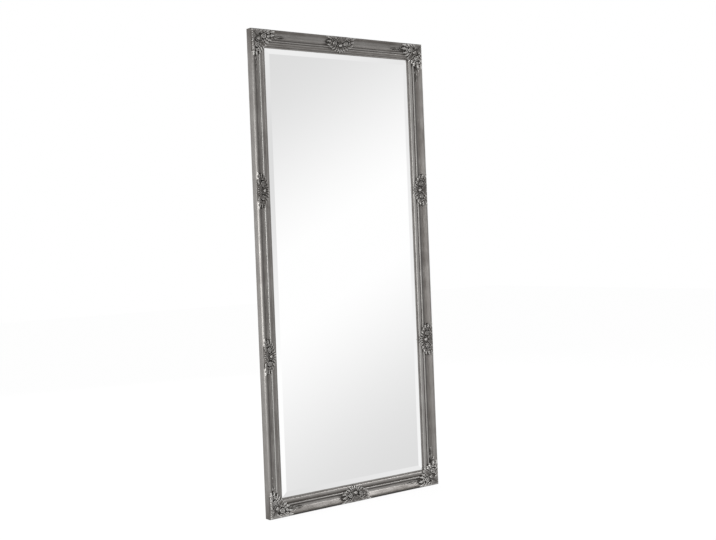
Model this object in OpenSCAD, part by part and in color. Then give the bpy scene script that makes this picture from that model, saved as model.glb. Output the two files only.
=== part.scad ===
// Full-length wall mirror: a bevelled glass in a mitred moulding with cast leaf-and-scroll ornaments.
// Millimetres. The origin is the middle of the flat back, +X is right, +Z is up and the front faces -Y.
// In the moulding, d is the distance in from the frame's outer edge and h is the height above the back.

/* [Frame] */
// Overall width of the frame
frame_w = 760; // [640:10:1000]
// Overall height of the frame
frame_h = 1700; // [1500:10:2000]
// Depth of the moulding, from its back to the top of the outer bead
frame_t = 32; // [30:0.5:40]

/* [Moulding] */
// Radius of the outer bead
bead_r = 6; // [5:0.5:7]
// Slope at which the outer bead runs into the hollow, in degrees
bead_slope = 45; // [40:1:50]
// Width of the hollow between the two beads
hollow_w = 23.4; // [22:0.1:27]
// How far the hollow keeps the bead's slope
hollow_plunge = 20; // [18:0.2:22]
// Slope of the hollow's inner end, in degrees
hollow_slope = 22; // [18:1:26]
// How far the hollow keeps the slope of its inner end
hollow_sweep = 12; // [10:0.2:14]
// Height of the hollow's inner end
hollow_inner_h = 17.6; // [17:0.1:18.4]
// Radius of the small inner bead
astragal_r = 3.4; // [2.8:0.1:3.6]
// Height of the small inner bead's top
astragal_h = 20.4; // [19.8:0.1:21.4]
// Width of each fine groove beside the inner bead
quirk_w = 0.5; // [0.3:0.1:1]
// Width of the rounded inner slope
ovolo_w = 15.6; // [14:0.2:19]
// Height of the inner slope's outer end
ovolo_outer_h = 15.5; // [14.5:0.1:16]
// Height of the inner slope at its middle
ovolo_mid_h = 17.4; // [17:0.1:18]
// Width of the lip round the glass
lip_w = 5; // [4:0.5:7]
// Height of the lip at its middle
lip_mid_h = 13.5; // [13.2:0.1:14.2]
// Height of the lip at its two edges
lip_edge_h = 12.9; // [12.6:0.1:13.2]

/* [Glass and back] */
// Thickness of the glass
glass_t = 5; // [4:0.5:6]
// Thickness left at the glass's edge
glass_edge_t = 3; // [2:0.5:3.5]
// Width of the bevel
bevel_w = 26; // [20:1:35]
// Depth of the rebate that holds the glass, behind the lip
rebate_w = 8; // [7:0.5:10]
// Clearance round the glass
glass_gap = 1.5; // [1:0.1:2.5]
// Thickness of the cushion sheet
cushion_t = 4; // [3:0.1:4]
// Thickness of the backboard
board_t = 3; // [2.5:0.1:4]
// Width of the ledge that the backboard lies on
ledge_w = 14; // [12:0.5:16]
// Clearance round the backboard
board_gap = 1; // [0.5:0.1:2]
// Length of each block under the glass
block_l = 40; // [20:1:80]
// Distance between the two blocks' middles
block_pitch = 320; // [200:10:400]

/* [Fasteners] */
// Greatest distance between the backboard's screws
screw_pitch_max = 360; // [250:10:450]
// Distance of the end screws from the frame's ends
screw_end = 80; // [70:1:120]
// Radius of every screw's shank
screw_r = 1.5; // [1.25:0.05:1.75]
// Length of the backboard's screws
board_screw_l = 11; // [9:0.5:12]
// Length of the hangers' screws under the head
hanger_screw_l = 11; // [9:0.5:12]
// Radius of the screw heads
head_r = 3.1; // [2.9:0.05:3.2]
// Distance of the first mitre nail from the corner, along each rail
nail_first = 14; // [12:0.5:16]
// Distance of the second mitre nail from the corner, along each rail
nail_second = 29; // [26:0.5:32]
// How deep the mitre nails go
nail_h = 10; // [7:0.5:12]

/* [Hangers] */
// Radius of the ring's wire
wire_r = 1.4; // [1.2:0.05:1.5]
// Inner width of the ring
ring_in_w = 16; // [15:0.5:18]
// Distance from the eye to the middle of the ring's bow
ring_reach = 12.5; // [12.2:0.1:13]
// Thickness of the hanger plate
plate_t = 1.2; // [1:0.1:1.4]
// Width of the hanger plate
plate_w = 15; // [13:0.5:16]
// Width of the eye
eye_w = 12; // [9:0.5:12]
// Radial clearance of the ring in its eye
eye_gap = 0.06; // [0.02:0.01:0.09]
// How far the ring leans past upright, towards the frame
ring_lean = 4; // [2:0.5:4]
// Distance of the upright hangers' eyes from the frame's top
portrait_drop = 240; // [180:10:400]
// Distance of the upright hangers' middles from the frame's side
portrait_d = 20; // [16:0.5:24]
// Height of the sideways hangers above and below the middle
landscape_z = 450; // [200:10:520]
// Distance of the sideways hangers' eyes from the frame's side
landscape_d = 15.5; // [15:0.1:16]
// Thickness of the wall bumpers
bumper_t = 6; // [5.5:0.5:10]
// Radius of the wall bumpers
bumper_r = 7; // [5:0.5:10]
// Distance of the bumpers from the frame's sides
bumper_d = 18; // [12:0.5:26]
// Distance of the bumpers from the frame's top and bottom
bumper_end = 70; // [60:1:120]

/* [Ornaments] */
// Height of the ornaments' body at the frame's outer edge
rim_h = 34.5; // [34:0.1:36]
// How far the ornaments' body falls for each millimetre inwards
rim_fall = 0.28; // [0.26:0.01:0.3]
// How far a leaf's rib stands above the body
leaf_rise = 3.6; // [2:0.1:4]
// Radius of the round boss of every ornament
boss_r = 7.5; // [6:0.1:8]
// Half the length of the middle ornaments
motif_half = 61; // [54:1:70]
// Length of the corner ornaments' arms, without their sprigs
arm_l = 98; // [90:1:110]
// Distance of the sprigs' tips from the corner
sprig_l = 146; // [140:1:180]
// Height of the side ornaments above and below the middle
side_motif_z = 288; // [240:1:340]
// Sideways place of the bottom ornament, which is set by hand
bottom_motif_x = -12; // [-20:1:20]

/* [Hidden] */
$fn = 48;

// Sides of the frame, turning clockwise as seen from the front
TOP = 0;
RIGHT = 1;
BOTTOM = 2;
LEFT = 3;

// Places across the moulding, from the outer edge inwards
hollow_d = bead_r + bead_r * sin(bead_slope);
astragal_d = hollow_d + hollow_w + quirk_w;
ovolo_d = astragal_d + 2 * astragal_r + quirk_w;
lip_d = ovolo_d + ovolo_w;
face_w = lip_d + lip_w;
rebate_d = face_w - rebate_w;
ledge_d = rebate_d - ledge_w;
screw_d = ledge_d + ledge_w / 2;

// Heights of the glass, and of the lip's back where it meets the bevel at the sight edge
glass_back_h = board_t + cushion_t;
glass_front_h = glass_back_h + glass_t;
glass_cover = rebate_w - glass_gap;
lip_back_h = glass_front_h - (glass_t - glass_edge_t) * (1 - glass_cover / bevel_w);
glass_w = frame_w - 2 * (rebate_d + glass_gap);
glass_h = frame_h - 2 * (rebate_d + glass_gap);
block_top_h = glass_back_h + glass_edge_t;

// Hanger: the eye's middle above the back, and the plate's length below it
eye_r = wire_r + eye_gap;
eye_out_r = eye_r + plate_t;
ring_half_w = ring_in_w / 2 + wire_r;
corner_r = 2.5;
plate_start = 1;
first_hole = 6.4;
second_hole = 18;
plate_l = 16;
hole_gap = 0.2;
pilot_gap = 0.05;
pan_head_h = 1.8;
countersink_h = 1.6;
tip_h = 2.5;
recess_l = 3.4;
recess_w = 0.8;
recess_deep = 1;

// Hangers as [side, x, z, turn about Y]
hangers = [
    [LEFT, portrait_d - frame_w / 2, frame_h / 2 - portrait_drop, 0],
    [RIGHT, frame_w / 2 - portrait_d, frame_h / 2 - portrait_drop, 0],
    [LEFT, landscape_d - frame_w / 2, landscape_z, -90],
    [LEFT, landscape_d - frame_w / 2, -landscape_z, -90]
];

// How far a cutter runs past the face that it opens
past = 1;

// Points on an arc
function arc(centre, r, from, to, steps) =
    [for (i = [0:steps]) let (a = from + (to - from) * i / steps)
        [centre.x + r * cos(a), centre.y + r * sin(a)]];

// Points on a curve from a to b that is drawn towards a_pull first and b_pull last
function curve(a, a_pull, b_pull, b, steps) =
    [for (i = [0:steps]) let (t = i / steps, s = 1 - t)
        s * s * s * a + 3 * s * s * t * a_pull + 3 * s * t * t * b_pull + t * t * t * b];

// Points on a smooth bow from a to b that passes mid_h half way, fuller than a parabola
bow_full = 0.2;
function bow(a, b, mid_h, steps) =
    let (side = (b.x - a.x) * bow_full, ctrl_h = (mid_h - (a.y + b.y) / 8) / 0.75)
    curve(a, [a.x + side, ctrl_h], [b.x - side, ctrl_h], b, steps);

// The hollow, from the bead's slope down and up again to the inner bead
hollow_start = [hollow_d, frame_t - bead_r + bead_r * cos(bead_slope)];
hollow_end = [hollow_d + hollow_w, hollow_inner_h];
hollow_line = curve(hollow_start,
    hollow_start + hollow_plunge * [cos(bead_slope), -sin(bead_slope)],
    hollow_end - hollow_sweep * [cos(hollow_slope), sin(hollow_slope)],
    hollow_end, 9);

// All points of a line but its first, which the line before it has too
function rest(line) = [for (i = [1:len(line) - 1]) line[i]];

// The moulding's face as [d, h] points, from the outer side to the sight edge
face_line = concat(
    arc([bead_r, frame_t - bead_r], bead_r, 180, 90 - bead_slope, 7),
    rest(hollow_line),
    arc([astragal_d + astragal_r, astragal_h - astragal_r], astragal_r, 180, 0, 6),
    bow([ovolo_d, ovolo_outer_h], [lip_d, lip_edge_h], ovolo_mid_h, 7),
    rest(bow([lip_d, lip_edge_h], [face_w, lip_edge_h], lip_mid_h, 3))
);

// Height of the moulding's face, d in from the outer edge
function face_h(d) = lookup(d, face_line);

// The section that an ornament sits on, with no rebate behind it
seat_line = concat([[0, 0]], face_line, [[face_w, 0]]);

// The whole section, with a rebate for the glass and a ledge for the backboard
section_line = concat([[0, 0]], face_line, [
    [face_w, lip_back_h], [rebate_d, lip_back_h], [rebate_d, board_t], [ledge_d, board_t], [ledge_d, 0]
]);

function side_len(side) = side % 2 == 0 ? frame_w : frame_h;
function side_reach(side) = side_len(side + 1) / 2;

// Puts a piece drawn on a side: its z = 0 is the outer edge, and inwards is -Z
module on_side(side) {
    rotate([0, 90 * side, 0])
        translate([0, 0, side_reach(side)])
            children();
}

// A section run along X, mitred at both ends
module mitred_run(len, section) {
    half = len / 2;
    inner = face_w + past;
    intersection() {
        rotate(180, [1, 0, -1])
            linear_extrude(len + 2 * past, center = true)
                polygon(section);
        translate([0, past, 0])
            rotate([90, 0, 0])
                linear_extrude(frame_t + 2 * past)
                    polygon([[-half - past, past], [half + past, past],
                        [half - inner, -inner], [inner - half, -inner]]);
    }
}

module bare_member(side, section = section_line) {
    on_side(side)
        mitred_run(side_len(side), section);
}

// Turns a piece drawn on +Z so that it points out of the back, along +Y
module out_of_back() {
    rotate([-90, 0, 0])
        children();
}

module screw_shank(len, gap = 0) {
    rotate_extrude()
        polygon([[0, 0], [screw_r + gap, 0], [screw_r + gap, tip_h - len], [0, -len]]);
}

module cross_recess() {
    for (turn = [0, 90])
        rotate(turn)
            cube([recess_l, recess_w, 2 * recess_deep], center = true);
}

// The cone under a countersunk head, let into the board flush with it
module countersink() {
    rotate_extrude()
        polygon([[0, 0], [head_r, 0], [screw_r, -countersink_h], [0, -countersink_h]]);
}

module board_screw() {
    out_of_back()
        difference() {
            union() {
                countersink();
                screw_shank(board_screw_l);
            }
            cross_recess();
        }
}

// Places of the backboard's screws on one side
module at_board_screws(side) {
    reach = side_len(side) / 2 - screw_end;
    spans = ceil(2 * reach / screw_pitch_max);
    on_side(side)
        for (i = [0:spans])
            translate([-reach + 2 * reach * i / spans, 0, -screw_d])
                children();
}

module at_hanger(i) {
    translate([hangers[i][1], 0, hangers[i][2]])
        rotate([0, hangers[i][3], 0])
            children();
}

module at_hanger_holes() {
    for (down = [first_hole, second_hole])
        translate([0, 0, -down])
            children();
}

// Mitre nail, drawn with its two legs on either side of +X
nail_leg = 5;
nail_t = 0.7;
module nail_outline() {
    polygon([[0, 0], [nail_leg, nail_leg], [nail_leg + nail_t, nail_leg - nail_t], [2 * nail_t, 0],
        [nail_leg + nail_t, nail_t - nail_leg], [nail_leg, -nail_leg]]);
}

// The two nails of one corner; sx and sz say which one
module corner_nails(sx, sz, out = 0) {
    for (along = [nail_first, nail_second])
        translate([sx * (frame_w / 2 - along), out, sz * (frame_h / 2 - along)])
            rotate([90, 0, 0])
                linear_extrude(nail_h + out)
                    rotate(atan2(-sz, -sx))
                        nail_outline();
}

module all_nails(out = 0) {
    for (sx = [-1, 1], sz = [-1, 1])
        corner_nails(sx, sz, out);
}

// One side of the frame, with its nail slots and pilot holes
module member(side) {
    color("dimgray")
        difference() {
            bare_member(side);
            all_nails(past);
            at_board_screws(side)
                out_of_back()
                    screw_shank(board_screw_l + pilot_gap, pilot_gap);
            for (i = [0:len(hangers) - 1])
                if (hangers[i][0] == side)
                    at_hanger(i)
                        at_hanger_holes()
                            out_of_back()
                                translate([0, 0, plate_t])
                                    screw_shank(hanger_screw_l + pilot_gap, pilot_gap);
        }
}

module v_nails() {
    color("silver")
        all_nails();
}

// Height of the ornaments' body, d in from the outer edge
function body_h(d) = rim_h - rim_fall * d;

// Ornaments are drawn as [along, inwards] for a moulding and an arm of these sizes, and fitted to the
// real ones
drawn_face_w = 62;
drawn_half = 61;
drawn_arm_l = 98;
function on_rail(p) = [p[0] * motif_half / drawn_half, p[1] * face_w / drawn_face_w];
function out_arm(a) = a <= drawn_face_w ? a * face_w / drawn_face_w
    : face_w + (a - drawn_face_w) * (arm_l - face_w) / (drawn_arm_l - drawn_face_w);
function on_corner(p) = [out_arm(p[0]), out_arm(p[1])];

// Point of an ornament, up above its body; in a corner the nearer edge counts
function raised(p, up, corner) =
    [p[0], -body_h(corner ? min(p[0], p[1]) : p[1]) - up, -p[1]];

// A pointed leaf with a raised rib, from its root over its belly and its neck to its tip
leaf_belly = 0.32;
leaf_neck = 0.72;
neck_share = 0.62;
leaf_keel = 5;
module leaf(root, tip, half_w, corner = false) {
    fitted = [for (p = [root, tip]) corner ? on_corner(p) : on_rail(p)];
    run = fitted[1] - fitted[0];
    side = [-run[1], run[0]] * half_w / norm(run);
    belly = fitted[0] + leaf_belly * run;
    neck = fitted[0] + leaf_neck * run;
    edge = -leaf_rise / 4;
    polyhedron([
        raised(fitted[0], leaf_rise / 4, corner),
        raised(belly + side, edge, corner),
        raised(belly, leaf_rise, corner),
        raised(belly - side, edge, corner),
        raised(neck + neck_share * side, edge, corner),
        raised(neck, leaf_rise, corner),
        raised(neck - neck_share * side, edge, corner),
        raised(fitted[1], leaf_rise / 3, corner), raised(belly, -leaf_keel, corner)
    ], [[1, 0, 2], [0, 3, 2], [4, 1, 2], [4, 2, 5], [6, 5, 2], [6, 2, 3], [7, 4, 5], [6, 7, 5],
        [0, 1, 8], [1, 4, 8], [4, 7, 8], [7, 6, 8], [6, 3, 8], [3, 0, 8]]);
}

// A fan of leaves from a hinge to the outer edge, spread to both sides of a middle direction
fan_edge = 2.8;
fan_eye = 0.3;
module fan(hinge, middle, spread, half_w, corner = false) {
    for (share = [-1:0.5:1]) {
        ray = [cos(middle + share * spread), sin(middle + share * spread)];
        r = (hinge[1] - fan_edge) / (corner ? max(abs(ray[0]), abs(ray[1])) : 1);
        leaf(hinge + fan_eye * r * ray, hinge + r * ray, half_w, corner);
    }
}

// The round boss of an ornament, sunk a little into its body
boss_sink = 0.35;
module boss(p, corner = false) {
    fitted = corner ? on_corner(p) : on_rail(p);
    translate(raised(fitted, -boss_sink * boss_r, corner))
        sphere(boss_r, $fn = 8);
}

// An open scroll on the body, with a button in its eye
scroll_r = 7;
scroll_wire = 2.1;
scroll_turn = 280;
module scroll(p, turn, corner = false) {
    translate(raised(corner ? on_corner(p) : on_rail(p), 0, corner)) {
        rotate([90, turn, 0])
            rotate_extrude(angle = scroll_turn, $fn = 10)
                translate([scroll_r, 0])
                    circle(scroll_wire, $fn = 5);
        sphere(scroll_r / 2, $fn = 6);
    }
}

// The sloping block under an ornament, along X, before its outline is cut
module body_wedge(len) {
    rotate(180, [1, 0, -1])
        linear_extrude(len, center = true)
            polygon([[0, 0], [0, rim_h], [face_w, body_h(face_w)], [face_w, 0]]);
}

// An outline drawn as [along, inwards], cut through the moulding's whole depth
module through(outline) {
    rotate([90, 0, 0])
        linear_extrude(rim_h)
            polygon([for (p = outline) [p[0], -p[1]]]);
}

// Middle ornament, half of it: each leaf's root, tip and half width, and the outline of the body
motif_leaves = [
    [[17, 17], [42, 4.5], 5.2],
    [[30, 18], [57, 8], 5.2],
    [[35, 24], [61, 21], 4.8],
    [[33, 30], [56, 36], 4.8],
    [[22, 35], [43, 46], 5],
    [[13, 39], [28, 53], 4.6],
    [[5, 42], [13.5, 57], 3.6]
];
motif_outline = [[0, 2.4], [26, 2.6], [40, 3], [46, 7], [54, 7.6], [52, 15], [58, 20.6], [52, 28],
    [53, 35], [42, 38.5], [40, 44.5], [28, 46], [25.6, 51], [15, 51], [12, 55.6], [5, 54.5], [0, 58]];

module motif() {
    intersection() {
        body_wedge(2 * motif_half);
        through([for (p = concat(motif_outline, [for (i = [len(motif_outline) - 2:-1:1])
            [-motif_outline[i][0], motif_outline[i][1]]])) on_rail(p)]);
    }
    for (side = [0, 1])
        mirror([side, 0, 0]) {
            for (l = motif_leaves)
                leaf(l[0], l[1], l[2]);
            scroll([26, 26], 150);
        }
    fan([0, 31], -90, 52, 5);
    leaf([0, 38], [0, 60.5], 4.4);
    boss([0, 33]);
}

// A middle ornament in its place on a side, cut to sit on the moulding
module rail_ornament(side, along) {
    color("gray")
        difference() {
            on_side(side)
                translate([along, 0, 0])
                    motif();
            bare_member(side, seat_line);
        }
}

// Corner ornament, one arm of it: each leaf's root, tip and half width, and the outline of the body
arm_leaves = [
    [[26, 16], [52, 4.5], 5.4],
    [[42, 17], [75, 4.8], 5.6],
    [[62, 18], [97, 8], 5.4],
    [[66, 25], [94, 22], 5],
    [[58, 32], [85, 38], 5],
    [[48, 37], [75, 49], 5.2],
    [[42, 41], [68, 59], 5]
];
arm_outline = [[2.4, 2.4], [50, 2.6], [72, 3], [78, 6.5], [93, 7.6], [86, 16], [91, 21.6], [79, 29],
    [82, 37.2], [69, 39.5], [71.6, 47.4], [60, 47.6], [65.4, 57.4], [57.6, 54], [58.4, 58.4]];

// The sprig lies in the hollow: its tapering stem, and the pointed leaf at its end
sprig_d = 23;
drawn_stem_root = 86;
stem_up = 0.8;
stem_bend = 12;
stem_root_r = 3;
stem_r = 1.9;
stem_tip_r = 1.3;
dart_l = 31;
dart_half_w = 4.8;
dart_widest = 0.4;
dart_rib_r = 2.2;
dart_edge_r = 1;
module sprig_knob(along, r, h, across = 0) {
    translate([along, -h, -sprig_d - across])
        sphere(r, $fn = 5);
}

module sprig() {
    stem_h = face_h(sprig_d) + stem_up;
    dart_root = sprig_l - dart_l;
    dart_belly = dart_root + dart_widest * dart_l;
    hull() {
        sprig_knob(out_arm(drawn_stem_root), stem_root_r, body_h(sprig_d) - leaf_rise);
        sprig_knob(arm_l + stem_bend, stem_r, stem_h);
    }
    hull() {
        sprig_knob(arm_l + stem_bend, stem_r, stem_h);
        sprig_knob(dart_root + stem_r, stem_tip_r, stem_h);
    }
    hull() {
        sprig_knob(dart_root, stem_tip_r, stem_h);
        sprig_knob(dart_belly, dart_rib_r, stem_h);
        for (side = [-1, 1])
            sprig_knob(dart_belly, dart_edge_r, face_h(sprig_d + side * dart_half_w), side * dart_half_w);
        sprig_knob(sprig_l - dart_edge_r, dart_edge_r, stem_h - stem_up);
    }
}

module arm_body() {
    intersection() {
        translate([arm_l / 2, 0, 0])
            body_wedge(arm_l);
        through([for (p = arm_outline) on_corner(p)]);
    }
}

module arm() {
    arm_body();
    for (l = arm_leaves)
        leaf(l[0], l[1], l[2], corner = true);
    scroll([56, 27], 150, corner = true);
    sprig();
}

// The whole corner ornament at the top left, drawn from the frame's corner
module corner_motif() {
    arm();
    mirror([1, 0, 1])
        arm();
    fan([30, 30], -135, 50, 5.2, corner = true);
    leaf([40, 40], [60.5, 60.5], 4.8, corner = true);
    boss([33, 33], corner = true);
}

module corner_ornament(sx, sz) {
    color("gray")
        difference() {
            mirror([sx > 0 ? 1 : 0, 0, 0])
                mirror([0, 0, sz < 0 ? 1 : 0])
                    translate([-frame_w / 2, 0, frame_h / 2])
                        corner_motif();
            bare_member(sx < 0 ? LEFT : RIGHT, seat_line);
            bare_member(sz < 0 ? BOTTOM : TOP, seat_line);
        }
}

// Section of the glass with its two bevels, w wide
module glass_section(w) {
    polygon([[-w / 2, -glass_back_h], [w / 2, -glass_back_h],
        [w / 2, -glass_back_h - glass_edge_t], [w / 2 - bevel_w, -glass_front_h],
        [bevel_w - w / 2, -glass_front_h], [-w / 2, -glass_back_h - glass_edge_t]]);
}

module mirror_glass() {
    color("lightcyan")
        intersection() {
            linear_extrude(glass_h + past, center = true)
                glass_section(glass_w);
            rotate([0, -90, 0])
                linear_extrude(glass_w + past, center = true)
                    glass_section(glass_h);
        }
}

// A flat sheet parallel to the back, from one height to another
module sheet(w, h, from_h, to_h) {
    translate([-w / 2, -to_h, -h / 2])
        cube([w, to_h - from_h, h]);
}

module setting_blocks() {
    color("sienna")
        for (s = [-1, 1])
            translate([s * block_pitch / 2 - block_l / 2, -block_top_h, rebate_d - frame_h / 2])
                cube([block_l, block_top_h - board_t, glass_gap]);
}

module cushion_sheet() {
    color("white")
        sheet(glass_w, glass_h, board_t, glass_back_h);
}

module backboard() {
    inset = 2 * (ledge_d + board_gap);
    color("peru")
        difference() {
            sheet(frame_w - inset, frame_h - inset, 0, board_t);
            for (side = [TOP, RIGHT, BOTTOM, LEFT])
                at_board_screws(side)
                    out_of_back() {
                        countersink();
                        translate([0, 0, -board_t - past])
                            cylinder(r = screw_r + hole_gap, h = board_t + 2 * past);
                    }
        }
}

module backboard_screws() {
    color("silver")
        for (side = [TOP, RIGHT, BOTTOM, LEFT])
            at_board_screws(side)
                board_screw();
}

// Hanger plate with its rolled eye; the eye is at the origin's height and the plate hangs down from it
module hanger_plate() {
    color("silver")
        difference() {
            union() {
                rotate([90, 0, 0])
                    translate([0, 0, -plate_t])
                        linear_extrude(plate_t)
                            union() {
                                translate([-plate_w / 2, -plate_l])
                                    square([plate_w, plate_l - plate_start]);
                                translate([0, -plate_l])
                                    circle(plate_w / 2);
                            }
                translate([-eye_w / 2, eye_out_r, 0])
                    rotate([0, 90, 0])
                        cylinder(r = eye_out_r, h = eye_w);
            }
            translate([-eye_w / 2 - past, eye_out_r, 0])
                rotate([0, 90, 0])
                    cylinder(r = eye_r, h = eye_w + 2 * past);
            at_hanger_holes()
                out_of_back()
                    translate([0, 0, -past])
                        cylinder(r = screw_r + hole_gap, h = plate_t + 2 * past);
        }
}

// Quarter or half bend of the ring's wire, in the XZ plane
module bend(r, angle) {
    rotate([90, 0, 0])
        rotate_extrude(angle = angle)
            translate([r, 0])
                circle(wire_r);
}

// D-ring in its eye, leaning against the frame as it does when it isn't on a hook
module d_ring() {
    bow_z = ring_reach - ring_half_w;
    color("lightgray")
        translate([0, eye_out_r, 0])
            rotate([ring_lean, 0, 0]) {
                translate([corner_r - ring_half_w, 0, 0])
                    rotate([0, 90, 0])
                        cylinder(r = wire_r, h = 2 * (ring_half_w - corner_r));
                for (side = [0, 1])
                    mirror([side, 0, 0]) {
                        translate([ring_half_w - corner_r, 0, corner_r])
                            mirror([0, 0, 1])
                                bend(corner_r, 90);
                        translate([ring_half_w, 0, corner_r])
                            cylinder(r = wire_r, h = bow_z - corner_r);
                    }
                translate([0, 0, bow_z])
                    bend(ring_half_w, 180);
            }
}

module pan_screw() {
    out_of_back()
        translate([0, 0, plate_t])
            difference() {
                union() {
                    rotate_extrude()
                        polygon([[0, 0], [head_r, 0], [head_r, 0.5 * pan_head_h],
                            [0.85 * head_r, 0.85 * pan_head_h], [0.55 * head_r, pan_head_h], [0, pan_head_h]]);
                    screw_shank(hanger_screw_l);
                }
                translate([0, 0, pan_head_h])
                    cross_recess();
            }
}

module hanger_screws() {
    color("silver")
        for (i = [0:len(hangers) - 1])
            at_hanger(i)
                at_hanger_holes()
                    pan_screw();
}

module wall_bumpers() {
    round_r = 2;
    color("black")
        for (sx = [-1, 1], sz = [-1, 1])
            translate([sx * (frame_w / 2 - bumper_d), 0, sz * (frame_h / 2 - bumper_end)])
                out_of_back()
                    rotate_extrude()
                        polygon(concat([[0, 0], [bumper_r, 0]],
                            arc([bumper_r - round_r, bumper_t - round_r], round_r, 0, 90, 4),
                            [[0, bumper_t]]));
}

member(TOP);  // top_rail
member(BOTTOM);  // bottom_rail
member(LEFT);  // left_stile
member(RIGHT);  // right_stile
v_nails();
corner_ornament(-1, 1);  // corner_ornament_top_left
corner_ornament(1, 1);  // corner_ornament_top_right
corner_ornament(-1, -1);  // corner_ornament_bottom_left
corner_ornament(1, -1);  // corner_ornament_bottom_right
rail_ornament(TOP, 0);  // top_ornament
rail_ornament(BOTTOM, -bottom_motif_x);  // bottom_ornament
rail_ornament(LEFT, side_motif_z);  // left_upper_ornament
rail_ornament(LEFT, -side_motif_z);  // left_lower_ornament
rail_ornament(RIGHT, -side_motif_z);  // right_upper_ornament
rail_ornament(RIGHT, side_motif_z);  // right_lower_ornament
mirror_glass();
setting_blocks();
cushion_sheet();
backboard();
backboard_screws();
at_hanger(0) hanger_plate();  // portrait_hanger_left
at_hanger(1) hanger_plate();  // portrait_hanger_right
at_hanger(2) hanger_plate();  // landscape_hanger_upper
at_hanger(3) hanger_plate();  // landscape_hanger_lower
at_hanger(0) d_ring();  // portrait_ring_left
at_hanger(1) d_ring();  // portrait_ring_right
at_hanger(2) d_ring();  // landscape_ring_upper
at_hanger(3) d_ring();  // landscape_ring_lower
hanger_screws();
wall_bumpers();
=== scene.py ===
"""Looks of the full-length wall mirror: a bevelled glass in a pewter-silver moulding with cast ornaments.

Lengths are in millimetres up to the point where a mesh is made, and in metres after it.
In the moulding, d is the distance in from the frame's outer edge and h is the height above its back.
"""

import math

import bpy
import numpy as np
from mathutils import Matrix, Vector


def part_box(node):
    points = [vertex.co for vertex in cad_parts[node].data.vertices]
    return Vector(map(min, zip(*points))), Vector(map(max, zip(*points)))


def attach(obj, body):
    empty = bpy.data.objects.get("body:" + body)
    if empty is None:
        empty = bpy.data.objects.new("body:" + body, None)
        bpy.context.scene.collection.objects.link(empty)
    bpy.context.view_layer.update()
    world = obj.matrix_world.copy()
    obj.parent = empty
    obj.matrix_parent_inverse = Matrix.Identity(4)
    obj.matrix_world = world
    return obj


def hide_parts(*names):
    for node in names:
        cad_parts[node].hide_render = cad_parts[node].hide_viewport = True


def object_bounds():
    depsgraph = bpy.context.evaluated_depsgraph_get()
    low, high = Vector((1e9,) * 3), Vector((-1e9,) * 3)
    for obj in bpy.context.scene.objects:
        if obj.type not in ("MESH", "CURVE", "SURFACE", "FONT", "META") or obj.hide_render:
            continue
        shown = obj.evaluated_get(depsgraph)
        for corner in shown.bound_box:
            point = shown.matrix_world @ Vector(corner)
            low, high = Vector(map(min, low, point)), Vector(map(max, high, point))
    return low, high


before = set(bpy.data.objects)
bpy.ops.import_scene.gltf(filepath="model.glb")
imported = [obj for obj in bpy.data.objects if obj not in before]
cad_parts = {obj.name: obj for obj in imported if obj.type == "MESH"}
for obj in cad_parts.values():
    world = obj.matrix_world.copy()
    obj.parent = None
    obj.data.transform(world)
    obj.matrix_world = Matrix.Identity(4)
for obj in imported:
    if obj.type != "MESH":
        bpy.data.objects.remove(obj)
cad_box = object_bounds()

MM = 0.001
RAILS = ("top_rail", "right_stile", "bottom_rail", "left_stile")

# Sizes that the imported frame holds
stile_lo, stile_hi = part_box("left_stile")
FRAME_W = -2 * stile_lo.x / MM
FRAME_H = 2 * stile_hi.z / MM
FRAME_T = -stile_lo.y / MM
FACE_W = (stile_hi.x - stile_lo.x) / MM
REACH_H = -cad_box[0].y / MM

# Section of the moulding
BEAD_R = 6.0
BEAD_SLOPE = 45.0
HOLLOW_W = 23.4
HOLLOW_PLUNGE = 20.0
HOLLOW_SLOPE = 22.0
HOLLOW_SWEEP = 12.0
HOLLOW_INNER_H = 17.6
ASTRAGAL_R = 3.4
ASTRAGAL_H = 20.4
QUIRK_W = 0.5
OVOLO_W = 15.6
OVOLO_HEIGHTS = (15.5, 17.4, 12.9)
LIP_HEIGHTS = (12.9, 13.5, 12.9)
LIP_BACK_H = 10.5
REBATE_W = 8.0
LEDGE_W = 14.0
BOARD_T = 3.0
ARRIS_R = 0.8

HOLLOW_D = BEAD_R + BEAD_R * math.sin(math.radians(BEAD_SLOPE))
ASTRAGAL_D = HOLLOW_D + HOLLOW_W + QUIRK_W
OVOLO_D = ASTRAGAL_D + 2 * ASTRAGAL_R + QUIRK_W
LIP_D = OVOLO_D + OVOLO_W
REBATE_D = FACE_W - REBATE_W
LEDGE_D = REBATE_D - LEDGE_W

# Camera of the photograph: where it stands, how it looks, and where its axis meets the picture
CAMERA_AT = Vector((-2.2506, -3.1902, 0.0972))
CAMERA_FORWARD = Vector((0.586852, 0.809689, -0.002807))
CAMERA_UP = Vector((0.033627, -0.020908, 0.999216))
FOCAL_PX = 1061.2
PICTURE_W_PX = 716
PICTURE_H_PX = 540
AXIS_Y_PX = 245
SENSOR_W = 36.0


# Shapes of the moulding

def arc(centre, radius, start, end, steps):
    """Points on an arc, from one angle to another, in degrees."""
    angles = np.radians(np.linspace(start, end, steps + 1))
    return [(centre[0] + radius * math.cos(a), centre[1] + radius * math.sin(a)) for a in angles]


def curve(start, start_pull, end_pull, end, steps):
    """Points on a curve that leaves its start and meets its end along two pulls."""
    points = []
    for t in np.linspace(0, 1, steps + 1):
        shares = ((1 - t) ** 3, 3 * (1 - t) ** 2 * t, 3 * (1 - t) * t * t, t**3)
        corners = (start, start_pull, end_pull, end)
        points.append(tuple(sum(w * c[k] for w, c in zip(shares, corners)) for k in (0, 1)))
    return points


def bow(d_from, d_to, heights, steps):
    """Points on a smooth bow through its first, middle and last height."""
    first, middle, last = heights
    side = (d_to - d_from) * 0.2
    pull = (middle - (first + last) / 8) / 0.75
    return curve((d_from, first), (d_from + side, pull), (d_to - side, pull), (d_to, last), steps)


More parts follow.
